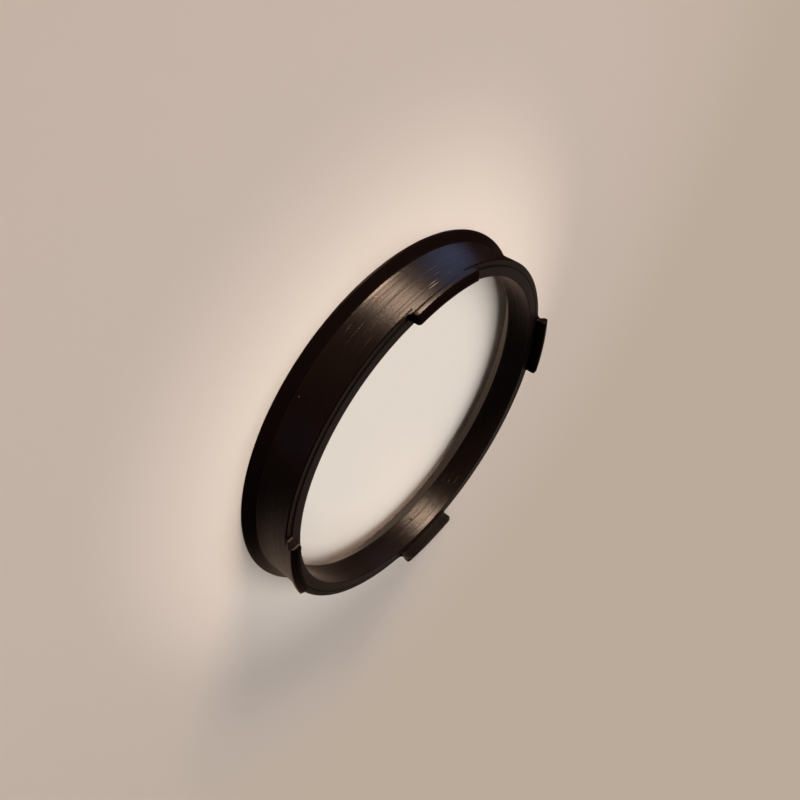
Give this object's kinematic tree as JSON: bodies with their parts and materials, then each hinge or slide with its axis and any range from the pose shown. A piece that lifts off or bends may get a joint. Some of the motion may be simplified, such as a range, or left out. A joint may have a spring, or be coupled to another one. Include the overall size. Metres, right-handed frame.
{
  "type": "hub centric ring",
  "caption": "Thin one-piece plastic hub centric ring with a smooth bore, a straight wheel seat, a flared back lip and hooked snap clips rising from its front face.",
  "frame": {"origin": "centre of the ring's axis at the flared back face, which is the lowest plane", "axes": "+Z along the bore axis from the back lip towards the clips; +X through the middle of one clip"},
  "size_m": [0.0736, 0.0736, 0.0106],
  "materials": {
    "black_plastic": "satin black moulded plastic with fine turned lines"
  },
  "bodies": {
    "root": {"hub_ring": "black_plastic"}
  },
  "joints": []
}
